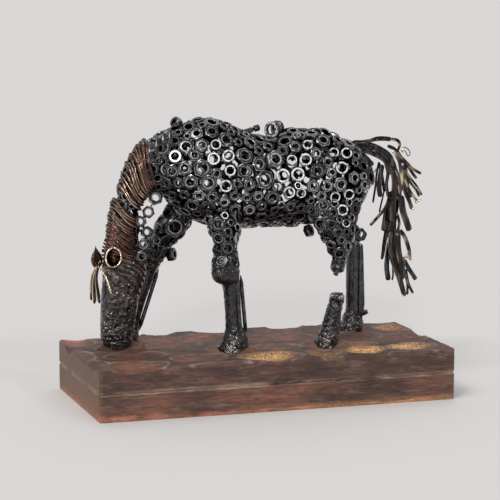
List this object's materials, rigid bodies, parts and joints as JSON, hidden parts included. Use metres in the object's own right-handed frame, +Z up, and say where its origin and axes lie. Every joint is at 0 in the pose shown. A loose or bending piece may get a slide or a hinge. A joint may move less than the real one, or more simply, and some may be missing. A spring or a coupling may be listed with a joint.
{
  "type": "scrap metal horse sculpture",
  "caption": "Grazing horse welded from steel nuts, tube, rod and wire, with one hind leg broken off above its hoof, standing on a carved two-board wooden plinth.",
  "frame": {"origin": "centre of the plinth's underside", "axes": "+X along the plinth towards the tail, +Y from the broken hind leg's side to the other side, +Z up"},
  "size_m": [0.3093, 0.144, 0.232],
  "materials": {
    "stained_wood": "dark burnt stain, satin, lighter in the carved hollows",
    "black_steel": "glossy black lacquer over steel nuts and weld beads",
    "gilded_wire": "dark lacquer with gold rubbed along the edges"
  },
  "bodies": {
    "root": {"plinth_lower_board": "stained_wood", "plinth_upper_board": "stained_wood", "horse": "black_steel", "hind_hoof_stump": "black_steel", "mane": "gilded_wire", "tail": "gilded_wire", "forelock": "gilded_wire"}
  },
  "joints": []
}
